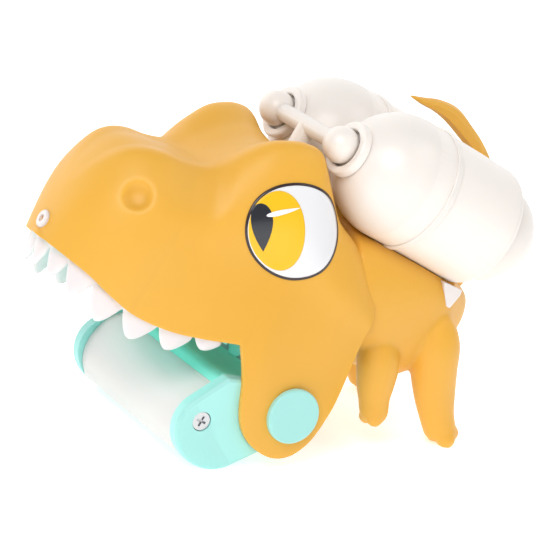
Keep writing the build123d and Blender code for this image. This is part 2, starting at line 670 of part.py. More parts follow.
with BuildPart() as pivot_cap:
    add(rod(seen_from_left(CHEEK_X), (HINGE_Y, HINGE_Z), DISC_R, DISC_HEIGHT))
    fillet(pivot_cap.faces().sort_by(Axis.X)[-1].edges(), 0.9)

# ---- pump ----
VALVE_LENGTH = 9.0
with BuildPart() as pump_cylinder:
    add(ring(across(PUMP_REAR_Y), (0, PUMP_Z), PUMP_R, PUMP_BORE_R, PUMP_REAR_Y - PUMP_FRONT_Y))

with BuildPart() as pump_gland:
    add(ring(across(PUMP_FRONT_Y), (0, PUMP_Z), PUMP_R, ROD_R + FIT, GLAND_FLANGE))
    add(ring(across(PUMP_FRONT_Y + GLAND_DEPTH), (0, PUMP_Z), PUMP_BORE_R - FIT, ROD_R + FIT, GLAND_DEPTH))

with BuildPart() as valve_block:
    add(rod(across(PUMP_REAR_Y + VALVE_LENGTH), (0, PUMP_Z), PUMP_R, VALVE_LENGTH))
    add(
        block(
            across(PUMP_REAR_Y + VALVE_LENGTH),
            (-HOSE_X - 3.4, PUMP_Z - 4),
            (HOSE_X + 3.4, PUMP_Z + 4),
            VALVE_LENGTH,
        )
    )
    add(rod(across(PUMP_REAR_Y + 4), (0, PUMP_Z), 4.0, 5), mode=Mode.SUBTRACT)
    add(
        rod(seen_from_left(-HOSE_X), (PUMP_REAR_Y + 4.5, PUMP_Z), HOSE_BORE_R, 2 * HOSE_X),
        mode=Mode.SUBTRACT,
    )
    for side in SIDES.values():
        add(rod(across(PUMP_REAR_Y + 4.5), (side * HOSE_X, PUMP_Z), HOSE_BORE_R, 5), mode=Mode.SUBTRACT)
        add(rod(seen_from_left(side * 8 - 1.6), (PUMP_REAR_Y + 4.5, PUMP_Z), 3.0, 3.2), mode=Mode.SUBTRACT)
    add(torso.part, mode=Mode.SUBTRACT)


def duckbill(x):
    """Rubber one-way valve in the cross gallery."""
    with BuildPart() as piece:
        add(ring(seen_from_left(x - 1.5), (PUMP_REAR_Y + 4.5, PUMP_Z), 3.0 - FIT, 1.0, 1.2))
        add(ring(seen_from_left(x - 0.3), (PUMP_REAR_Y + 4.5, PUMP_Z), 1.6, 1.0, 1.6))
    return piece.part


with BuildPart() as suction_valve:
    add(duckbill(-8))

with BuildPart() as delivery_valve:
    add(duckbill(8))

with BuildPart() as piston:
    add(rod(across(PISTON_Y + PISTON_LENGTH), (0, PUMP_Z), PUMP_BORE_R - 0.3, PISTON_LENGTH))
    add(
        ring(across(PISTON_Y + PISTON_LENGTH - 2), (0, PUMP_Z), PUMP_BORE_R, PUMP_BORE_R - 1.8, 2.4),
        mode=Mode.SUBTRACT,
    )

with BuildPart() as piston_seal:
    add(ring(across(PISTON_Y + PISTON_LENGTH - 2.1), (0, PUMP_Z), PUMP_BORE_R - FIT, PUMP_BORE_R - 1.75, 2.2))

with BuildPart() as piston_rod:
    add(rod(across(PISTON_Y), (0, PUMP_Z), ROD_R, PISTON_Y - HINGE_Y))
    add(rod(seen_from_left(-5), (HINGE_Y, PUMP_Z), 5.0, 10))
    add(rod(seen_from_left(-6), (HINGE_Y, PUMP_Z), CROSS_PIN_R, 12), mode=Mode.SUBTRACT)

with BuildPart() as cross_pin:
    add(rod(seen_from_left(-CRANK_X - CRANK_WALL), (HINGE_Y, PUMP_Z), CROSS_PIN_R, 2 * (CRANK_X + CRANK_WALL)))

# return spring in the pump, behind the piston
SPRING_R = 6.6
SPRING_TURNS = 7
SPRING_FRONT = PISTON_Y + PISTON_LENGTH + SPRING_WIRE_R + 0.1
SPRING_REAR = PUMP_REAR_Y - SPRING_WIRE_R - 0.1
with BuildPart() as return_spring:
    with BuildLine() as coil:
        Helix(
            pitch=(SPRING_REAR - SPRING_FRONT) / SPRING_TURNS,
            height=SPRING_REAR - SPRING_FRONT,
            radius=SPRING_R,
            center=(0, SPRING_FRONT, PUMP_Z),
            direction=(0, 1, 0),
        )
    with BuildSketch(Plane(origin=coil.line @ 0, z_dir=coil.line % 0)):
        Circle(SPRING_WIRE_R)
    sweep()

# ---- hoses ----
BEND = 0.45


def hose(points):
    """Tube along straight runs joined by arcs as large as the runs allow."""
    route = [Vector(*point) for point in points]
    radii = []
    for before, corner, after in zip(route, route[1:], route[2:]):
        arrive = corner - before
        leave = after - corner
        turn = radians(arrive.get_angle(leave))
        radii.append(BEND * min(arrive.length, leave.length) / tan(turn / 2))
    print("hose radii", [round(radius, 1) for radius in radii])
    with BuildPart() as piece:
        with BuildLine() as path:
            FilletPolyline(*points, radius=radii)
        with BuildSketch(Plane(origin=path.line @ 0, z_dir=path.line % 0)):
            Circle(HOSE_R)
            Circle(HOSE_BORE_R, mode=Mode.SUBTRACT)
        sweep(path=path.line)
    return piece.part


BARB_Y = PUMP_REAR_Y - SEAM
with BuildPart() as suction_hose:
    add(
        hose(
            [
                (0, BALL_Y, -OUTLET_LENGTH - SEAM), (0, BALL_Y, -33.0), (-11.0, -26.0, -40.0),
                (-HOSE_X, -8.0, -43.0), (-HOSE_X, 22.0, PUMP_Z), (-HOSE_X, BARB_Y, PUMP_Z),
            ]
        )
    )

with BuildPart() as delivery_hose:
    add(
        hose(
            [
                (0, NOZZLE_TIP_Y + NOZZLE_LENGTH + SEAM, NOZZLE_Z), (0, -82.0, NOZZLE_Z), (9.0, -62.0, -72.0),
                (HOSE_X, -34.0, -60.0), (HOSE_X, -4.0, -49.0), (HOSE_X, 22.0, PUMP_Z),
                (HOSE_X, BARB_Y, PUMP_Z),
            ]
        )
    )

# ---- shell screws, put in from the right ----
with BuildPart() as shell_screws:
    for point in HEAD_SCREWS + TORSO_SCREWS:
        add(rod(seen_from_left(SCREW_HEAD_X - 2.0), point, SCREW_HEAD_R, 2.0))
        add(rod(seen_from_left(SCREW_HEAD_X), point, SCREW_R, SCREW_TIP_X - SCREW_HEAD_X - 0.5))
        with BuildSketch(seen_from_left(SCREW_HEAD_X - 2.0)):
            with Locations(point):
                Rectangle(3.6, 0.8)
                Rectangle(0.8, 3.6)
        extrude(amount=1.2, mode=Mode.SUBTRACT)

# ---- put the toy on the floor and write each piece ----
pieces = {
    "tank_manifold": tank_manifold,
    "palate": palate,
    "upper_teeth": upper_teeth,
    "tail": tail,
    "nozzle": nozzle,
    "nozzle_seal": nozzle_seal,
    "jaw_grip": jaw_grip,
    "jaw_bridge": jaw_bridge,
    "jaw_crank": jaw_crank,
    "jaw_screws": jaw_screws,
    "shell_screws": shell_screws,
    "pump_cylinder": pump_cylinder,
    "pump_gland": pump_gland,
    "valve_block": valve_block,
    "suction_valve": suction_valve,
    "delivery_valve": delivery_valve,
    "piston": piston,
    "piston_seal": piston_seal,
    "piston_rod": piston_rod,
    "cross_pin": cross_pin,
    "return_spring": return_spring,
    "suction_hose": suction_hose,
    "delivery_hose": delivery_hose,
}
pairs = {
    "tank_front": tank_front,
    "tank_rear": tank_rear,
    "tank_rib": tank_rib,
    "tank_collar": tank_collar,
    "tank_clip": tank_clip,
    "filler_cap": filler_cap,
    "cap_seal": cap_seal,
    "arm": arm,
    "leg": leg,
    "eye": eye,
    "jaw_side": jaw_side,
    "pivot_pin": pivot_pin,
    "pivot_cap": pivot_cap,
}

level = {name: piece.part for name, piece in pieces.items()}
for name, piece in pairs.items():
    level[name + "_left"] = piece.part
    level[name + "_right"] = piece.part.mirror(Plane.YZ)
for name, whole in {"head_shell": head.part, "torso_shell": torso.part}.items():
    with BuildPart() as left_half:
        add(whole)
        split(bisect_by=Plane.YZ, keep=Keep.TOP)
    with BuildPart() as right_half:
        add(whole)
        split(bisect_by=Plane.YZ, keep=Keep.BOTTOM)
    level[name + "_left"] = left_half.part
    level[name + "_right"] = right_half.part

LEAN = Location((0, 0, 0), (-PITCH, 0, 0))
boxes = [shape.moved(LEAN).bounding_box() for shape in level.values()]
low = [min(tuple(box.min)[k] for box in boxes) for k in range(3)]
high = [max(tuple(box.max)[k] for box in boxes) for k in range(3)]
STAND = Location((-(low[0] + high[0]) / 2, -(low[1] + high[1]) / 2, -low[2])) * LEAN

os.makedirs("parts", exist_ok=True)
for name, shape in level.items():
    placed = shape.moved(STAND)
    placed.label = name
    export_step(placed, f"parts/{name}.step")
print("overall size", [round(high[k] - low[k], 1) for k in range(3)])
print("stand", STAND)
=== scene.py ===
"""Looks of the hand-pumped dinosaur water squirter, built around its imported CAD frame.

Pieces are drawn level, in millimetres: X to the toy's left, Y to its tail, Z up, tank axes at Z = 0.
LEVEL turns that drawing into the row frame, where the toy leans back on its jaw and hind feet.
"""

import json
import math

import bmesh
import bpy
import numpy as np
from mathutils import Matrix, Vector
from mathutils.bvhtree import BVHTree


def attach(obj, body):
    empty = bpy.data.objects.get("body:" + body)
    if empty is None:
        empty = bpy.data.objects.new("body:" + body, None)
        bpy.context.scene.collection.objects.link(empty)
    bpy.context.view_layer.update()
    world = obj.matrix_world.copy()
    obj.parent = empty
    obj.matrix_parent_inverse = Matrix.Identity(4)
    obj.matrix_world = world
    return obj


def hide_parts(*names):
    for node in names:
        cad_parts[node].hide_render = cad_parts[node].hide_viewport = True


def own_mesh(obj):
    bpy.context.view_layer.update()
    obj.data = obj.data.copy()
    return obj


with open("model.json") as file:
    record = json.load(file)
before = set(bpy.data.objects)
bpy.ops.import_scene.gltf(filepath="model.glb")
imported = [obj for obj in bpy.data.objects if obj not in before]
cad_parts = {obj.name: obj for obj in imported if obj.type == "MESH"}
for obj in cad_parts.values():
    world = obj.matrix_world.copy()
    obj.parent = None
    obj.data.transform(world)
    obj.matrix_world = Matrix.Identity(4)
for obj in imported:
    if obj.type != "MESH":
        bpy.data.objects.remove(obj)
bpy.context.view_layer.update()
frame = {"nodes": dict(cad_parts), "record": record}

# ---- the level drawing, placed by the frame's own joints ----
JOINTS = {joint["name"]: joint for joint in frame["record"]["behaviour"]["joints"]}
BACK = Vector(JOINTS["piston_slide"]["axis"])
UP = Vector((0.0, -BACK.z, BACK.y))
HINGE_Y = -2.75
HINGE_Z = -98.0
MM = 0.001
origin = Vector(JOINTS["jaw_hinge"]["pos_m"]) - BACK * HINGE_Y * MM - UP * HINGE_Z * MM
LEVEL = Matrix.Translation(origin) @ Matrix((
    (MM, 0.0, 0.0, 0.0),
    (0.0, BACK.y * MM, UP.y * MM, 0.0),
    (0.0, BACK.z * MM, UP.z * MM, 0.0),
    (0.0, 0.0, 0.0, 1.0),
))

TANK_X = 26.2
TANK_R = 25.0


# ---- small mesh tools ----
def between(a, b, c, d, t):
    """Place at share t of the way from b to c, on a smooth curve through a, b, c and d."""
    square = (2 * a - 5 * b + 4 * c - d) * t**2
    return 0.5 * (2 * b + (c - a) * t + square + (3 * b - a - 3 * c + d) * t**3)


def curve_through(points, samples):
    """Smooth curve through points (an even Catmull-Rom spline), as rows of coordinates."""
    p = np.asarray(points, float)
    p = np.vstack([2 * p[0] - p[1], p, 2 * p[-1] - p[-2]])
    step = np.linspace(0, len(points) - 1, samples)
    out = []
    for s in step:
        i = min(int(s), len(points) - 2)
        t = s - i
        out.append(between(p[i], p[i + 1], p[i + 2], p[i + 3], t))
    return np.array(out)


def loop_through(points, samples):
    """Smooth closed curve through points, without a repeated end."""
    p = np.asarray(points, float)
    n = len(p)
    out = []
    for s in np.linspace(0, n, samples, endpoint=False):
        i = int(s)
        t = s - i
        out.append(between(p[(i - 1) % n], p[i % n], p[(i + 1) % n], p[(i + 2) % n], t))
    return np.array(out)


def table_curve(rows, samples_at):
    """Columns of a table as smooth functions of its first column."""
    rows = np.asarray(rows, float)
    dense = curve_through(rows, 40 * len(rows))
    order = np.argsort(dense[:, 0])
    dense = dense[order]
    return np.array([np.interp(samples_at, dense[:, 0], dense[:, k]) for k in range(1, rows.shape[1])]).T


def mesh_object(name, verts, faces, material, smooth=True):
    """A mesh drawn level in millimetres, as an object in the row frame."""
    mesh = bpy.data.meshes.new(name)
    mesh.from_pydata([tuple(v) for v in verts], [], [tuple(f) for f in faces])
    mesh.transform(LEVEL)
    mesh.validate()
    mesh.materials.append(material)
    piece = bpy.data.objects.new(name, mesh)
    bpy.context.scene.collection.objects.link(piece)
    tidy = bmesh.new()
    tidy.from_mesh(mesh)
    bmesh.ops.remove_doubles(tidy, verts=tidy.verts, dist=2e-6)
    bmesh.ops.recalc_face_normals(tidy, faces=tidy.faces)
    tidy.to_mesh(mesh)
    tidy.free()
    for polygon in mesh.polygons:
        polygon.use_smooth = smooth
    return piece


def grid_faces(rows, columns, closed):
    """Quads of a grid of points, row by row; closed joins its last column to its first."""
    faces = []
    for r in range(rows - 1):
        for c in range(columns if closed else columns - 1):
            d = (c + 1) % columns
            faces.append((r * columns + c, r * columns + d, (r + 1) * columns + d, (r + 1) * columns + c))
    return faces


def apply_modifiers(piece):
    """Bakes a piece's modifiers into its mesh."""
    graph = bpy.context.evaluated_depsgraph_get()
    baked = bpy.data.meshes.new_from_object(piece.evaluated_get(graph))
    piece.modifiers.clear()
    piece.data = baked
    for polygon in baked.polygons:
        polygon.use_smooth = True


def place(piece, body, slot, *nodes):
    """Rides a piece on its body and hides the CAD nodes that it stands for; slot is not used."""
    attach(piece, body)
    if nodes:
        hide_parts(*nodes)
    return piece


# ---- materials ----
def plastic(name, colour, roughness, shade=0.88, coat=0.0, subsurface=0.0, grain=0.02, mottle=0.035):
    """Moulded plastic: soft colour drift, painted shade in hollows with paler sharp edges, and a fine moulded
    grain.
    """
    material = bpy.data.materials.new(name)
    material.use_nodes = True
    nodes = material.node_tree.nodes
    links = material.node_tree.links
    shader = nodes["Principled BSDF"]
    place_at = nodes.new("ShaderNodeTexCoord")
    drift = nodes.new("ShaderNodeTexNoise")
    drift.inputs["Scale"].default_value = 22.0
    drift.inputs["Detail"].default_value = 3.0
    links.new(place_at.outputs["Object"], drift.inputs["Vector"])
    tone = nodes.new("ShaderNodeMix")
    tone.data_type = "RGBA"
    tone.inputs["A"].default_value = (*[c * (1 - mottle) for c in colour], 1)
    tone.inputs["B"].default_value = (*[min(1, c * (1 + mottle)) for c in colour], 1)
    links.new(drift.outputs["Fac"], tone.inputs["Factor"])
    geometry = nodes.new("ShaderNodeNewGeometry")
    # painted shade: the Pointiness ramp darkens hollows and creases by shade and makes sharp edges a little
    # paler
    hollow_shade_ramp = nodes.new("ShaderNodeValToRGB")
    hollow_shade_ramp.color_ramp.elements[0].position = 0.44
    hollow_shade_ramp.color_ramp.elements[0].color = (shade, shade, shade, 1)
    hollow_shade_ramp.color_ramp.elements[1].position = 0.56
    hollow_shade_ramp.color_ramp.elements[1].color = (1.06, 1.06, 1.06, 1)
    links.new(geometry.outputs["Pointiness"], hollow_shade_ramp.inputs["Fac"])
    hollow_shaded_colour = nodes.new("ShaderNodeMix")
    hollow_shaded_colour.data_type = "RGBA"
    hollow_shaded_colour.blend_type = "MULTIPLY"
    hollow_shaded_colour.inputs["Factor"].default_value = 1.0
    links.new(tone.outputs["Result"], hollow_shaded_colour.inputs["A"])
    links.new(hollow_shade_ramp.outputs["Color"], hollow_shaded_colour.inputs["B"])
    links.new(hollow_shaded_colour.outputs["Result"], shader.inputs["Base Color"])
    smear = nodes.new("ShaderNodeTexNoise")
    smear.inputs["Scale"].default_value = 60.0
    links.new(place_at.outputs["Object"], smear.inputs["Vector"])
    polish = nodes.new("ShaderNodeMapRange")
    polish.inputs["To Min"].default_value = roughness - 0.05
    polish.inputs["To Max"].default_value = roughness + 0.06
    links.new(smear.outputs["Fac"], polish.inputs["Value"])
    links.new(polish.outputs["Result"], shader.inputs["Roughness"])
    skin = nodes.new("ShaderNodeTexNoise")
    skin.inputs["Scale"].default_value = 1600.0
    skin.inputs["Detail"].default_value = 2.0
    links.new(place_at.outputs["Object"], skin.inputs["Vector"])
    bump = nodes.new("ShaderNodeBump")
    bump.inputs["Strength"].default_value = grain
    bump.inputs["Distance"].default_value = 0.0004
    links.new(skin.outputs["Fac"], bump.inputs["Height"])
    links.new(bump.outputs["Normal"], shader.inputs["Normal"])
    shader.inputs["Coat Weight"].default_value = coat
    shader.inputs["Coat Roughness"].default_value = 0.25
    shader.inputs["Subsurface Weight"].default_value = subsurface
    shader.inputs["Subsurface Radius"].default_value = (0.004, 0.003, 0.002)
    shader.inputs["Subsurface Scale"].default_value = 1.0
    return material


def steel(name):
    """Plated screw steel with fine turning marks."""
    material = plastic(name, (0.55, 0.56, 0.58), 0.3, grain=0.15)
    material.node_tree.nodes["Principled BSDF"].inputs["Metallic"].default_value = 1.0
    return material


MUSTARD = plastic("mustard_plastic", (0.80, 0.415, 0.045), 0.46, coat=0.03, subsurface=0.03, grain=0.10)
MINT = plastic("mint_plastic", (0.36, 0.74, 0.70), 0.42, coat=0.04, subsurface=0.05, grain=0.08)
# the lining's mint is lighter and greener than MINT: painted light that offsets the shade inside the mouth
LINER = plastic("liner_plastic", (0.32, 0.86, 0.76), 0.5, subsurface=0.05, grain=0.08)
# the lining also glows a little with an emission of its own: painted light that brightens the shade inside the
# mouth
LINER_PAINTED_GLOW = LINER.node_tree.nodes["Principled BSDF"]
LINER_PAINTED_GLOW.inputs["Emission Color"].default_value = (0.10, 0.75, 0.50, 1)
LINER_PAINTED_GLOW.inputs["Emission Strength"].default_value = 0.12
CREAM = plastic("tank_plastic", (0.86, 0.80, 0.75), 0.33, coat=0.12, subsurface=0.10, shade=0.93, grain=0.06)
WHITE = plastic("white_plastic", (0.75, 0.70, 0.69), 0.38, coat=0.05, subsurface=0.08, grain=0.06)
TOOTH = plastic("tooth_plastic", (0.78, 0.73, 0.74), 0.30, coat=0.15, subsurface=0.12, grain=0.05)
GREY = plastic("pump_plastic", (0.45, 0.47, 0.49), 0.45)
RUBBER = plastic("seal_rubber", (0.03, 0.03, 0.03), 0.6)
HOSE = plastic("hose_pvc", (0.60, 0.63, 0.64), 0.3, coat=0.2, subsurface=0.1)
STEEL = steel("screw_steel")
EYE_WHITE = plastic("eye_white", (0.78, 0.78, 0.80), 0.22, coat=0.4, shade=0.97, mottle=0.01)
EYE_YELLOW = plastic("eye_yellow", (0.86, 0.50, 0.006), 0.3, coat=0.1, shade=0.97, mottle=0.03)
EYE_BLACK = plastic("eye_black", (0.012, 0.014, 0.022), 0.18, coat=0.5, shade=0.97)
EYE_LINE = plastic("eye_line", (0.022, 0.008, 0.010), 0.30, coat=0.3, shade=0.97)
EYE_GLINT = plastic("eye_glint", (0.95, 0.92, 0.92), 0.25, coat=0.3, shade=0.99, mottle=0.01)

# ---- head: one arched skin from the nose to the neck, with the cheek plates at its rear edge ----
NOSE_Y = -110.5
NOSE_FULL_Y = -78.0          # where the snout reaches its full width
HEAD_REAR_Y = 12.0
MOUTH_Y = -35.4              # corner of the mouth
CHEEK_X = 50.4
SKIN = 2.2
# y, flank width and height, brow place and height, ridge height
HEAD_ROWS = [
    (-110.5, 14.0, -70.0, 7.0, -64.0, -63.0),
    (-108.5, 18.0, -68.0, 9.0, -54.0, -52.5),
    (-104.0, 24.0, -67.0, 14.0, -45.0, -43.5),
    (-98.0, 30.0, -66.0, 18.0, -39.8, -38.0),
    (-90.0, 33.5, -65.5, 20.0, -36.8, -35.5),
    (-80.0, 35.5, -64.0, 21.5, -35.4, -34.0),
    (-70.0, 36.8, -63.0, 23.5, -31.8, -31.5),
    (-64.0, 37.8, -61.5, 26.5, -22.0, -26.5),
    (-57.0, 39.0, -59.5, 29.0, -13.0, -20.5),
    (-50.0, 40.0, -57.0, 31.0, -8.8, -16.0),
    (-44.0, 41.0, -55.0, 32.0, -6.8, -13.5),
    (-38.0, 42.0, -54.0, 32.5, -7.0, -13.0),
    (-32.0, 43.5, -54.0, 33.0, -12.0, -15.5),
    (-18.0, 46.0, -60.0, 35.0, -25.5, -24.5),
    (-4.0, 47.0, -62.0, 35.5, -31.5, -28.0),
    (12.0, 45.5, -62.0, 34.5, -41.0, -29.0),
]
LIP_PLAN = [
    (-108.0, 14.0), (-104.5, 18.5), (-99.6, 24.0), (-93.5, 28.5), (-86.0, 31.8), (-78.0, 34.3), (-70.0, 36.8),
    (-60.0, 39.8), (-50.0, 42.8), (-42.0, 45.2), (-35.4, 47.4), (-28.0, 49.6), (-20.0, 50.4), (12.0, 50.4),
]
LIP_HEIGHT = [(-112.0, -86.0), (-108.0, -86.8), (-98.0, -88.6), (-88.0, -91.5), (-76.0, -93.6), (-62.0, -92.4),
              (-50.0, -89.0), (-42.0, -86.0), (-37.2, -84.2)]
CHEEK_EDGE = [(-36.4, -84.2), (-35.0, -86.0), (-29.7, -94.6), (-24.5, -104.9), (-19.4, -111.6), (-12.0, -115.8),
              (-4.0, -116.9), (2.0, -115.6), (6.5, -112.4), (9.4, -108.0), (11.2, -103.0), (12.0, -97.0)]
HEAD_ARCH = 61


def head_stations():
    """Lengths along the head, close together at the nose, the mouth's corner and the cheek's ends."""
    turn = np.linspace(0, math.pi / 2, 46)
    nose = NOSE_FULL_Y + (NOSE_Y - NOSE_FULL_Y) * np.cos(turn)
    jowl = np.linspace(NOSE_FULL_Y, MOUTH_Y - 2, 60)[1:]
    corner = np.linspace(MOUTH_Y - 2, MOUTH_Y + 1, 12)[1:]
    cheek_turn = np.linspace(0, math.pi / 2, 70)[1:]
    cheek = MOUTH_Y + 1 + (HEAD_REAR_Y - MOUTH_Y - 1) * np.sin(cheek_turn)
    return np.concatenate([nose, jowl, corner, cheek])


def snout_taper(y):
    """Share of the full width at length y: round in plan at the nose."""
    reach = np.clip((y - NOSE_FULL_Y) / (NOSE_Y - NOSE_FULL_Y), 0, 1)
    return np.sqrt(np.maximum(0, 1 - reach**2))


def dent(points, centre, radius, depth, direction):
    """Pushes points near centre along direction, with a clear rim."""
    away = np.linalg.norm(points - np.array(centre), axis=1)
    share = np.clip(1 - away / radius, 0, 1)
    share = 1 - (1 - share) ** 3
    points += np.outer(share * depth, np.array(direction))


def head_points():
    """Grid of points of the head's outer skin: rows along the head, columns over the arch."""
    y = head_stations()
    flank = table_curve(HEAD_ROWS, y)
    plan = table_curve(LIP_PLAN, y)[:, 0]
    lip = table_curve(LIP_HEIGHT, y)[:, 0]
    cheek = table_curve(CHEEK_EDGE, y)[:, 0]
    full = table_curve(HEAD_ROWS, np.array([NOSE_FULL_Y]))[0]
    full_plan = table_curve(LIP_PLAN, np.array([NOSE_FULL_Y]))[0, 0]
    taper = snout_taper(y)
    rows = []
    for k, at in enumerate(y):
        width, width_z, brow, brow_z, ridge_z = flank[k]
        foot = plan[k]
        low = lip[k] if at < MOUTH_Y - 1 else cheek[k]
        if at < NOSE_FULL_Y:
            width = full[0] * taper[k] ** 0.85
            brow = full[2] * taper[k] ** 0.85
            foot = full_plan * taper[k]
        side = [(foot, low)]
        share = np.clip((at - MOUTH_Y + 1) / 18, 0, 1)
        share = share**2 * (3 - 2 * share)
        jowl = 0.5 * foot + 0.5 * width + 0.4 * taper[k]
        side.append(((1 - share) * jowl + share * CHEEK_X, 0.55 * low + 0.45 * width_z - 4 * share))
        temple = 0.52 * width + 0.48 * brow + 4.2 * taper[k]
        side += [(width, width_z), (temple, 0.5 * width_z + 0.5 * brow_z)]
        side += [(brow, brow_z), (0.45 * brow, 0.35 * brow_z + 0.65 * ridge_z)]
        left = side + [(0.0, ridge_z)]
        right = [(-x, z) for x, z in reversed(side)]
        arch = curve_through(left + right, HEAD_ARCH * 3)
        length = np.concatenate([[0], np.cumsum(np.linalg.norm(np.diff(arch, axis=0), axis=1))])
        even = np.linspace(0, length[-1], HEAD_ARCH * 2 + 1)
        x = np.interp(even, length, arch[:, 0])
        z = np.interp(even, length, arch[:, 1])
        rows.append(np.stack([x, np.full_like(x, at), z], axis=1))
    return np.array(rows)


def head_skin():
    rows = head_points()
    count, columns, _ = rows.shape
    points = rows.reshape(-1, 3)
    under = np.clip((-76 - points[:, 2]) / 10, 0, 1) * np.clip((-100 - points[:, 1]) / 8, 0, 1)
    points[:, 1] += 0.4 * under
    dent(points, (0.0, -109.0, -89.0), 5.5, 1.6, (0.0, -0.97, 0.22))
    for side in (1, -1):
        dent(points, (side * 28.5, -97.3, -53.8), 5.8, 3.0, (-side * 0.72, 0.55, -0.42))
    piece = mesh_object("head_shells", points, grid_faces(count, columns, False), MUSTARD)
    soften = piece.modifiers.new("soften", "SMOOTH")
    soften.iterations = 3
    soften.factor = 0.5
    wall = piece.modifiers.new("wall", "SOLIDIFY")
    wall.thickness = SKIN * MM
    wall.offset = -1
    rim = piece.modifiers.new("rim", "BEVEL")
    rim.width = 0.7 * MM
    rim.segments = 3
    rim.limit_method = "ANGLE"
    rim.angle_limit = math.radians(50)
    apply_modifiers(piece)
    return place(piece, "toy", "body_yellow", "head_shell_left", "head_shell_right")


head = head_skin()

# ---- trunk with arms and hind legs: blended closed forms ----
TRUNK_ROWS = [
    # y, belly height, belly half width, flank width and height, shoulder place and height, ridge height
    (-2.0, -66.0, 20.0, 38.0, -56.0, 33.0, -30.0, -24.0),
    (6.0, -69.0, 22.0, 40.0, -57.0, 34.5, -28.0, -22.0),
    (20.0, -70.5, 25.0, 40.0, -56.0, 34.5, -27.0, -20.0),
    (34.0, -72.5, 27.0, 38.0, -53.0, 33.0, -26.0, -20.0),
    (48.0, -72.0, 25.5, 34.5, -49.0, 29.0, -25.0, -21.0),
    (59.0, -65.0, 19.0, 28.5, -45.0, 21.5, -26.0, -22.5),
    (66.0, -56.0, 14.0, 22.0, -40.0, 16.0, -26.5, -24.0),
    (72.0, -44.0, 8.0, 13.5, -36.0, 10.0, -28.0, -26.5),
]
TRUNK_LOOP = 72


def trunk_mesh():
    """Closed skin of the trunk."""
    y = np.concatenate([np.linspace(-2, 56, 34), 56 + 16 * np.sin(np.linspace(0, math.pi / 2, 18)[1:])])
    rows = table_curve(TRUNK_ROWS, y)
    verts = []
    for at, (belly, belly_w, width, width_z, brow, brow_z, ridge) in zip(y, rows):
        side = [(belly_w, 0.8 * belly + 0.2 * width_z), (width, width_z), (brow, brow_z)]
        ring = [(0, ridge)] + [(-x, z) for x, z in reversed(side)] + [(0, belly)] + side
        for x, z in loop_through(ring, TRUNK_LOOP):
            verts.append((x, at, z))
    faces = grid_faces(len(y), TRUNK_LOOP, True)
    faces.append(tuple(range(TRUNK_LOOP)))
    faces.append(tuple(reversed(range(len(verts) - TRUNK_LOOP, len(verts)))))
    return verts, faces


def limb(stations, side):
    """Closed limb along stations of (x, y, z, half width across, half width fore and aft)."""
    rows = curve_through(stations, 40)
    around = 32
    verts = []
    for k, (x, y, z, wide, deep) in enumerate(rows):
        ahead = rows[min(k + 1, len(rows) - 1)][:3] - rows[max(k - 1, 0)][:3]
        run = Vector(ahead).normalized()
        across = Vector((1, 0, 0))
        across = (across - run * across.dot(run)).normalized()
        fore = run.cross(across)
        for j in range(around):
            a = 2 * math.pi * j / around
            p = Vector((x, y, z)) + across * (wide * math.cos(a)) + fore * (deep * math.sin(a))
            verts.append((side * p.x, p.y, p.z))
    faces = grid_faces(len(rows), around, True)
    faces.append(tuple(range(around)))
    faces.append(tuple(reversed(range(len(verts) - around, len(verts)))))
    return verts, faces


ARM = [
    (28.0, 25.0, -57.5, 3.0, 3.5), (32.4, 27.8, -60.5, 6.6, 7.2), (34.0, 32.4, -66.6, 7.4, 8.8),
    (33.4, 36.8, -74.0, 6.8, 7.8), (32.8, 40.4, -79.5, 5.9, 6.3), (32.6, 43.7, -84.0, 5.6, 5.7),
    (32.5, 45.2, -86.6, 4.2, 4.0), (32.5, 45.8, -88.0, 1.0, 1.0),
]
LEG = [
    (26.0, 49.5, -37.5, 3.0, 3.5), (29.6, 50.0, -41.5, 7.0, 7.8), (31.6, 53.8, -49.0, 8.6, 10.2),
    (31.4, 59.6, -58.0, 8.2, 9.8), (30.9, 66.6, -66.5, 7.0, 8.7), (30.8, 72.5, -73.0, 6.4, 7.3),
    (30.9, 77.0, -77.2, 6.6, 6.6), (31.0, 79.4, -79.4, 6.4, 6.0), (31.0, 80.4, -81.6, 4.0, 4.0),
]
TOES = {"arm": [((30.2, 43.2, -86.6), 3.3), ((35.2, 43.8, -86.0), 3.2)],
        "leg": [((27.4, 79.4, -80.2), 3.9), ((34.6, 80.0, -79.8), 3.9), ((31.8, 82.4, -77.0), 3.6)]}


def ball(centre, radius, side):
    """Closed ball as points and quads, for toes."""
    turns = 20
    verts = []
    for i in range(1, turns):
        tilt = math.pi * i / turns
        for j in range(turns):
            a = 2 * math.pi * j / turns
            verts.append((
                side * (centre[0] + radius * math.sin(tilt) * math.cos(a)),
                centre[1] + radius * math.sin(tilt) * math.sin(a),
                centre[2] + radius * math.cos(tilt),
            ))
    faces = grid_faces(turns - 1, turns, True)
    faces.append(tuple(range(turns)))
    faces.append(tuple(reversed(range(len(verts) - turns, len(verts)))))
    return verts, faces


def trunk():
    parts = [trunk_mesh()]
    for side in (1, -1):
        parts += [limb(ARM, side), limb(LEG, side)]
        parts += [ball(centre, radius, side) for toes in TOES.values() for centre, radius in toes]
    verts, faces = [], []
    for part_verts, part_faces in parts:
        base = len(verts)
        verts += list(part_verts)
        faces += [tuple(base + i for i in face) for face in part_faces]
    piece = mesh_object("trunk_shells", verts, faces, MUSTARD)
    blend = piece.modifiers.new("blend", "REMESH")
    blend.mode = "VOXEL"
    blend.voxel_size = 0.95 * MM
    soften = piece.modifiers.new("soften", "SMOOTH")
    soften.iterations = 6
    soften.factor = 0.55
    apply_modifiers(piece)
    clear_tanks(piece)
    nodes = [f"{kind}_{side}" for kind in ("torso_shell", "arm", "leg") for side in ("left", "right")]
    return place(piece, "toy", "body_yellow", *nodes)


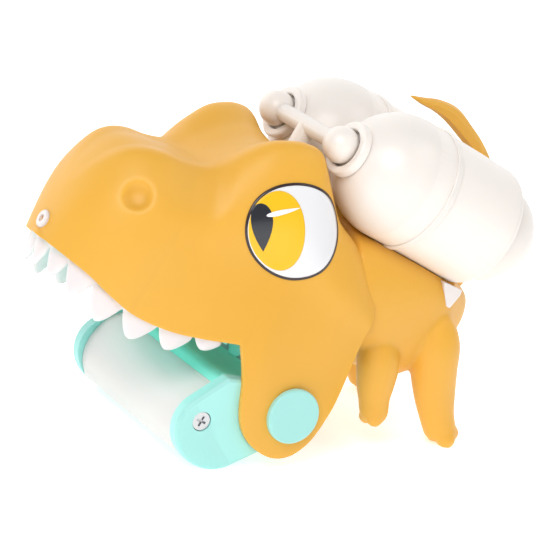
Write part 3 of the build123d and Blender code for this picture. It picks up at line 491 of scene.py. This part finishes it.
def clear_tanks(piece):
    """Presses the skin out of the tanks' room and flat onto the floor."""
    inverse = LEVEL.inverted()
    for vertex in piece.data.vertices:
        p = inverse @ vertex.co
        side = 1 if p.x > 0 else -1
        away = Vector((p.x - side * TANK_X, 0, p.z))
        room = TANK_R + 0.35
        if p.y > -8 and away.length < room and p.y < 50:
            away = away.normalized() * room if away.length > 1e-6 else Vector((0, 0, -room))
            vertex.co = LEVEL @ Vector((side * TANK_X + away.x, p.y, min(away.z, p.z)))
        vertex.co.z = max(vertex.co.z, 0.0)


trunk()

# ---- tail: curls up behind the tanks and forward between them, with flat facets ----
TAIL_LINE = [
    # y, z, half width, half thickness
    (62.0, -34.0, 4.4, 8.0), (67.2, -22.0, 4.4, 6.8), (69.0, -9.0, 4.4, 6.2), (67.0, 4.0, 4.4, 5.6),
    (60.5, 14.5, 4.4, 4.8), (52.5, 22.0, 4.4, 4.0), (44.5, 27.2, 4.4, 3.4), (36.0, 30.2, 4.4, 3.6),
    (27.0, 32.8, 4.3, 3.7), (18.5, 33.0, 3.6, 2.7), (11.0, 31.6, 2.4, 1.5), (5.0, 30.8, 0.5, 0.35),
]


def tail():
    rows = curve_through(TAIL_LINE, 90)
    facet = [(0.0, 1.0), (0.62, 0.72), (1.0, 0.1), (0.85, -0.75)]
    facet += [(0.0, -1.0)] + [(-across, up) for across, up in reversed(facet[1:])]
    verts = []
    for k, (y, z, wide, thick) in enumerate(rows):
        ahead = rows[min(k + 1, len(rows) - 1)][:2] - rows[max(k - 1, 0)][:2]
        run = Vector((0, ahead[0], ahead[1])).normalized()
        out = run.cross(Vector((1, 0, 0)))
        for across, up in facet:
            p = Vector((wide * across, y, z)) + out * (thick * up)
            verts.append((p.x, p.y, p.z))
    faces = grid_faces(len(rows), len(facet), True)
    faces.append(tuple(range(len(facet))))
    faces.append(tuple(reversed(range(len(verts) - len(facet), len(verts)))))
    piece = mesh_object("tail", verts, faces, MUSTARD)
    round_edges(piece, 0.6, 25)
    return place(piece, "toy", "body_yellow", "tail")


def round_edges(piece, width, angle, segments=3):
    """Rounds a piece's sharp edges and shades it evenly."""
    bevel = piece.modifiers.new("round", "BEVEL")
    bevel.width = width * MM
    bevel.segments = segments
    bevel.limit_method = "ANGLE"
    bevel.angle_limit = math.radians(angle)
    bevel.harden_normals = False
    apply_modifiers(piece)
    weigh = piece.modifiers.new("normals", "WEIGHTED_NORMAL")
    weigh.keep_sharp = True
    apply_modifiers(piece)


tail()

# ---- eyes: painted ovals that follow the head's skin ----
# an oval seen from the side: its centre's y and z, half length, half height and lean in degrees,
# then the share that its three soft corners add and where the first one points
EYE_OVAL = (-38.0, -36.6, 20.2, 18.1, 20.0, 0.02, 43.0)
IRIS_OVAL = (-44.8, -39.8, 15.3, 11.4, -53.5, 0.04, 17.0)
# a drop: its point's y and z, its length, half width and lean in degrees
PUPIL_DROP = (-45.6, -49.3, 18.6, 4.4, -55.0)
GLINT_DROP = (-41.1, -28.0, 14.2, 0.95, 39.5)
EYE_LINE_HALF = 0.5          # half the width of the dark line around the eye
EYE_STEPS = 96
DROP_FULLEST = 4 / math.sqrt(27)        # the most that sin(a) * sin(a / 2) reaches


def leaned(y, z, lean, along, across):
    """Places measured along and across an axis through (y, z) that leans by lean degrees."""
    turn = math.radians(lean)
    return np.stack([
        y + along * math.cos(turn) - across * math.sin(turn),
        z + along * math.sin(turn) + across * math.cos(turn),
    ], axis=1)


def cornered(a, corner, toward):
    """Share of an oval's reach at angle a, with three soft corners."""
    return 1 + corner * np.cos(3 * (a - math.radians(toward)))


def oval(y, z, half_long, half_tall, lean, corner, toward, grown):
    """Outline of a leaning oval with soft corners, moved outwards by grown."""
    a = np.linspace(0, 2 * math.pi, EYE_STEPS, endpoint=False)
    reach = cornered(a, corner, toward)
    along = (half_long + grown) * reach * np.cos(a)
    return leaned(y, z, lean, along, (half_tall + grown) * reach * np.sin(a))


def drop(y, z, length, half_wide, lean):
    """Outline of a leaning drop, from its point at (y, z) around its full end."""
    a = np.linspace(0, 2 * math.pi, EYE_STEPS, endpoint=False)
    across = half_wide / DROP_FULLEST * np.sin(a) * np.sin(a / 2)
    return leaned(y, z, lean, -length * (1 - np.cos(a)) / 2, across)


def kept_within(outline, y, z, half_long, half_tall, lean, corner, toward, grown):
    """The outline, with what lies past an oval drawn back to the oval's edge."""
    away = outline - (y, z)
    level = leaned(0.0, 0.0, -lean, away[:, 0], away[:, 1])
    along = level[:, 0] / (half_long + grown)
    across = level[:, 1] / (half_tall + grown)
    past = np.hypot(along, across) / cornered(np.arctan2(across, along), corner, toward)
    return (y, z) + away / np.maximum(past, 1.0)[:, None]


def head_tree():
    """The head's skin for finding the surface at a place seen from the side."""
    return BVHTree.FromObject(head, bpy.context.evaluated_depsgraph_get())


def decal(name, rim, lift, side, material, tree, rings=16):
    """Thin patch within an outline seen from the side, laid on the head's skin."""
    around = len(rim)
    centre = rim.mean(axis=0)
    verts, faces = [], []
    for ring in range(rings + 1):
        for y, z in centre + (rim - centre) * (ring / rings):
            start = LEVEL @ Vector((side * 80.0, y, z))
            hit = tree.ray_cast(start, Vector((-side, 0, 0)))[0]
            x = (LEVEL.inverted() @ hit).x
            verts.append((x + side * lift, y, z))
    for base in range(0, rings * around, around):
        for k in range(around):
            j = (k + 1) % around
            faces.append((base + k, base + j, base + around + j, base + around + k))
    piece = mesh_object(f"{name}_{'left' if side > 0 else 'right'}", verts, faces, material)
    soften = piece.modifiers.new("soften", "SMOOTH")
    soften.iterations = 4
    wall = piece.modifiers.new("wall", "SOLIDIFY")
    wall.thickness = 0.5 * MM
    wall.offset = -1
    apply_modifiers(piece)
    return piece


def eyes():
    tree = head_tree()
    for side in (1, -1):
        word = "left" if side > 0 else "right"
        line = decal("eye_line", oval(*EYE_OVAL, EYE_LINE_HALF), 0.30, side, EYE_LINE, tree)
        place(line, "toy", "eye_paint", f"eye_{word}")
        layers = (
            ("eye_white", oval(*EYE_OVAL, -EYE_LINE_HALF), 0.42, EYE_WHITE),
            ("eye_iris", kept_within(oval(*IRIS_OVAL, 0.0), *EYE_OVAL, -EYE_LINE_HALF), 0.52, EYE_YELLOW),
            ("eye_pupil", drop(*PUPIL_DROP), 0.62, EYE_BLACK),
            ("eye_glint", drop(*GLINT_DROP), 0.72, EYE_GLINT),
        )
        for name, outline, lift, material in layers:
            place(decal(name, outline, lift, side, material, tree), "toy", "eye_paint")


eyes()

# ---- teeth: a gum strip with flattened, round-tipped teeth ----
# side place along the lip's plan: x, y, half width, length
TEETH = [(0.0, -105.2, 5.3, 9.5), (11.2, -103.0, 5.8, 9.5), (21.8, -97.2, 6.6, 10.4), (28.4, -86.0, 7.2, 10.6),
         (32.6, -72.2, 7.4, 8.8), (36.6, -58.4, 7.0, 7.8), (40.2, -46.8, 5.8, 5.0)]
GUM = 1.6


def tooth(x, y, half, length, run):
    """One tooth: broad and flat at the gum, narrowing to a rounded tip, leaning a little inwards."""
    root_z = float(table_curve(LIP_HEIGHT, np.array([y]))[0, 0]) + GUM
    along = Vector((run[0], run[1], 0)).normalized()
    inward = Vector((-along.y, along.x, 0))
    if inward.dot(Vector((-x, -60 - y, 0))) < 0:
        inward = -inward
    around = 28
    levels = 18
    verts = []
    for level in range(levels):
        drop = (length + GUM) * (1 - (1 - level / (levels - 1)) ** 1.6)
        below = min(1.0, max(0.0, drop - GUM) / length)
        narrow = max((1 - below) ** 0.56, 0.02)
        for k in range(around):
            a = 2 * math.pi * k / around
            p = Vector((x, y, root_z - drop)) + inward * (0.06 * drop)
            p += along * (half * narrow * math.cos(a)) + inward * (2.2 * narrow**0.8 * math.sin(a))
            verts.append((p.x, p.y, p.z))
    faces = grid_faces(levels, around, True)
    faces.append(tuple(range(around)))
    faces.append(tuple(reversed(range(len(verts) - around, len(verts)))))
    return verts, faces


def upper_teeth():
    places = [(-x, y, half, length) for x, y, half, length in reversed(TEETH[1:])] + TEETH
    verts, faces = [], []
    for k, (x, y, half, length) in enumerate(places):
        before = places[max(k - 1, 0)]
        after = places[min(k + 1, len(places) - 1)]
        part_verts, part_faces = tooth(x, y, half, length, (after[0] - before[0], after[1] - before[1]))
        base = len(verts)
        verts += part_verts
        faces += [tuple(base + i for i in face) for face in part_faces]
    gum = curve_through([(x, y) for x, y, *_ in places], 120)
    gum_z = table_curve(LIP_HEIGHT, gum[:, 1])[:, 0] + 1.4
    base = len(verts)
    ring = [(-1.4, 1.2), (1.4, 1.2), (1.4, -1.4), (-1.4, -1.4)]
    for k, (x, y) in enumerate(gum):
        ahead = gum[min(k + 1, len(gum) - 1)] - gum[max(k - 1, 0)]
        side = np.array([-ahead[1], ahead[0]]) / np.linalg.norm(ahead)
        for across, up in ring:
            verts.append((x + side[0] * across, y + side[1] * across, gum_z[k] + up))
    strip = grid_faces(len(gum), 4, True)
    strip += [(0, 1, 2, 3), tuple(reversed(range(4 * len(gum) - 4, 4 * len(gum))))]
    faces += [tuple(base + i for i in face) for face in strip]
    piece = mesh_object("upper_teeth", verts, faces, TOOTH)
    blend = piece.modifiers.new("blend", "REMESH")
    blend.mode = "VOXEL"
    blend.voxel_size = 0.45 * MM
    soften = piece.modifiers.new("soften", "SMOOTH")
    soften.iterations = 5
    apply_modifiers(piece)
    return place(piece, "toy", "teeth_white", "upper_teeth")


upper_teeth()

# ---- lower jaw: barrelled grip panel, lip band and the mouth's lining ----
GRIP_HALF = 41.9
PANEL_FACE = [(-33.8, -102.2), (-36.4, -105.0), (-39.2, -110.0), (-40.6, -117.0), (-38.8, -124.4),
              (-33.8, -130.2)]
PANEL_BULGE = 1.5
LINING = [(-33.8, -102.4), (-33.4, -100.6), (-31.6, -98.6), (-28.4, -97.2), (-24.0, -96.6),
          (-18.0, -95.2), (-13.0, -92.4), (-11.0, -91.6), (-10.2, -92.8), (-13.6, -97.0),
          (-19.0, -100.6), (-26.0, -102.4), (-31.0, -103.4)]


def swept(name, profile, bulge, material, closed, ends=GRIP_HALF, across=60):
    """A profile of (y, z) drawn out across the jaw, swelling forwards in the middle."""
    verts = []
    for x in np.linspace(-ends, ends, across):
        swell = bulge * (1 - (x / ends) ** 2)
        for y, z in profile:
            verts.append((x, y - swell, z))
    faces = grid_faces(across, len(profile), closed)
    if closed:
        faces.append(tuple(range(len(profile))))
        faces.append(tuple(reversed(range(len(verts) - len(profile), len(verts)))))
    return mesh_object(name, verts, faces, material)


def jaw_pieces():
    face = curve_through(PANEL_FACE, 40)
    panel = swept("grip_panel", face, PANEL_BULGE, WHITE, False)
    wall = panel.modifiers.new("wall", "SOLIDIFY")
    wall.thickness = 2.0 * MM
    wall.offset = 0
    rim = panel.modifiers.new("rim", "BEVEL")
    rim.width = 0.6 * MM
    rim.segments = 3
    rim.limit_method = "ANGLE"
    rim.angle_limit = math.radians(50)
    apply_modifiers(panel)
    place(panel, "jaw", "panel_white", "jaw_grip")
    lining = swept("mouth_lining", loop_through(LINING, 90), 0.8, LINER, True, 42.0)
    place(lining, "jaw", "trim_mint", "jaw_bridge")


jaw_pieces()

# back wall of the mouth, behind the jaw's lining
WALL_LINE = [(-13.0, -86.8), (-6.5, -88.0), (-3.5, -91.0), (-2.6, -95.0), (-4.0, -98.6)]


def mouth_wall():
    line = curve_through(WALL_LINE, 30)
    piece = swept("mouth_wall", line, 0.0, LINER, False, 41.6, 30)
    wall = piece.modifiers.new("wall", "SOLIDIFY")
    wall.thickness = 1.2 * MM
    wall.offset = 0
    apply_modifiers(piece)
    place(piece, "toy", "trim_mint")


mouth_wall()

# ---- the pump's return spring, drawn at rest; the real one shortens as the jaw is squeezed ----
PUMP_Z = -44.0
SPRING_FRONT = 33.0
SPRING_REAR = 55.0
SPRING_TURNS = 7
SPRING_R = 6.6
SPRING_WIRE = 0.55


def return_spring():
    steps = SPRING_TURNS * 40
    around = 10
    verts = []
    for k in range(steps + 1):
        turn = 2 * math.pi * SPRING_TURNS * k / steps
        out = Vector((math.cos(turn), 0, math.sin(turn)))
        middle = out * SPRING_R + Vector((0, SPRING_FRONT + (SPRING_REAR - SPRING_FRONT) * k / steps, PUMP_Z))
        for j in range(around):
            a = 2 * math.pi * j / around
            p = middle + out * (SPRING_WIRE * math.cos(a)) + Vector((0, SPRING_WIRE * math.sin(a), 0))
            verts.append(tuple(p))
    faces = grid_faces(steps + 1, around, True)
    faces.append(tuple(range(around)))
    faces.append(tuple(reversed(range(len(verts) - around, len(verts)))))
    piece = mesh_object("spring", verts, faces, STEEL)
    place(piece, "toy", "steel", "return_spring")
    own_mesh(piece)


return_spring()

# ---- CAD nodes that keep their shape: better materials ----
KEPT = {
    CREAM: ["tank_front", "tank_rear", "tank_rib", "tank_collar", "tank_manifold", "filler_cap"],
    WHITE: ["tank_clip", "nozzle"],
    MINT: ["jaw_side", "pivot_cap"],
    LINER: ["palate"],
    GREY: ["jaw_crank", "pump_cylinder", "pump_gland", "valve_block", "piston", "piston_rod"],
    RUBBER: ["cap_seal", "nozzle_seal", "suction_valve", "delivery_valve", "piston_seal"],
    HOSE: ["suction_hose", "delivery_hose"],
    STEEL: ["pivot_pin", "jaw_screws", "shell_screws", "cross_pin", "return_spring"],
}


def dress(node_name, material):
    """Gives a kept CAD node its material."""
    for slot in frame["nodes"][node_name].material_slots:
        slot.material = material


for material, stems in KEPT.items():
    for stem in stems:
        for node_name in (stem, stem + "_left", stem + "_right"):
            if node_name in frame["nodes"]:
                dress(node_name, material)

# ---- stage, light and camera ----
STUDIO = (0.93, 0.93, 0.93)


def stage():
    """Pale floor that sweeps up into a pale backdrop."""
    verts = []
    profile = [(-3.0, 0.0), (1.2, 0.0)]
    profile += [(1.2 + 0.8 * math.sin(a), 0.8 - 0.8 * math.cos(a)) for a in np.linspace(0.1, math.pi / 2, 12)]
    profile += [(2.0, 3.5)]
    toward = Matrix.Rotation(math.radians(CAMERA_TURN), 3, "Z")
    for run, height in profile:
        for across in (-4.0, 4.0):
            p = toward @ Vector((across, run, 0))
            verts.append((p.x, p.y, height))
    mesh = bpy.data.meshes.new("studio_floor")
    mesh.from_pydata(verts, [], [(2 * k, 2 * k + 1, 2 * k + 3, 2 * k + 2) for k in range(len(profile) - 1)])
    for polygon in mesh.polygons:
        polygon.use_smooth = True
    floor = bpy.data.objects.new("studio_floor", mesh)
    bpy.context.scene.collection.objects.link(floor)
    paper = bpy.data.materials.new("studio_paper")
    paper.use_nodes = True
    paper.node_tree.nodes["Principled BSDF"].inputs["Base Color"].default_value = (*STUDIO, 1)
    paper.node_tree.nodes["Principled BSDF"].inputs["Roughness"].default_value = 0.9
    paper.node_tree.nodes["Principled BSDF"].inputs["Emission Color"].default_value = (1, 1, 1, 1)
    paper.node_tree.nodes["Principled BSDF"].inputs["Emission Strength"].default_value = 0.55
    mesh.materials.append(paper)


def soft_light(name, place_at, target, size, power):
    lamp = bpy.data.lights.new(name, "AREA")
    lamp.shape = "DISK"
    lamp.size = size
    lamp.energy = power
    lamp_object = bpy.data.objects.new(name, lamp)
    lamp_object.location = place_at
    lamp_object.rotation_euler = (Vector(target) - Vector(place_at)).to_track_quat("-Z", "Y").to_euler()
    bpy.context.scene.collection.objects.link(lamp_object)


# camera in the level drawing: it turns about the toy, tips and rolls
CAMERA_AZIMUTH = 55.61
CAMERA_TIP = -0.44
CAMERA_ROLL = 30.37
CAMERA_DISTANCE = 45 * TANK_R
CAMERA_AIM = (-1.37 * TANK_R, -1.847 * TANK_R)
CAMERA_LENS = 186.7
CAMERA_TURN = 66.0


def camera():
    turn, tip, roll = (math.radians(v) for v in (CAMERA_AZIMUTH, CAMERA_TIP, CAMERA_ROLL))
    back = Vector((math.sin(turn) * math.cos(tip), -math.cos(turn) * math.cos(tip), math.sin(tip)))
    right = Vector((math.cos(turn), math.sin(turn), 0))
    up = back.cross(right)
    rolled_right = right * math.cos(roll) + up * math.sin(roll)
    rolled_up = up * math.cos(roll) - right * math.sin(roll)
    eye = back * CAMERA_DISTANCE
    target = rolled_right * CAMERA_AIM[0] + rolled_up * CAMERA_AIM[1]
    look = (eye - target).normalized()
    side = rolled_up.cross(look).normalized()
    head_up = look.cross(side)
    turn_level = LEVEL.to_3x3() * (1 / MM)
    axes = Matrix((turn_level @ side, turn_level @ head_up, turn_level @ look)).transposed()
    data = bpy.data.cameras.new("camera")
    data.lens = CAMERA_LENS
    data.sensor_width = 36.0
    data.clip_end = 20.0
    camera_object = bpy.data.objects.new("camera", data)
    camera_object.matrix_world = Matrix.Translation(LEVEL @ eye) @ axes.to_4x4()
    bpy.context.scene.collection.objects.link(camera_object)
    bpy.context.scene.camera = camera_object


stage()
camera()
soft_light("key", (0.62, -0.62, 0.95), (0, 0, 0.06), 0.8, 8.2)
soft_light("fill", (-0.9, -0.5, 0.55), (0, 0, 0.06), 1.0, 2.2)
soft_light("rim", (0.5, 0.7, 1.0), (0, 0, 0.08), 0.8, 2.0)
world = bpy.data.worlds.new("studio")
world.use_nodes = True
world.node_tree.nodes["Background"].inputs["Color"].default_value = (1.0, 1.0, 1.0, 1)
world.node_tree.nodes["Background"].inputs["Strength"].default_value = 0.40
bpy.context.scene.world = world
bpy.context.scene.view_settings.view_transform = "Standard"
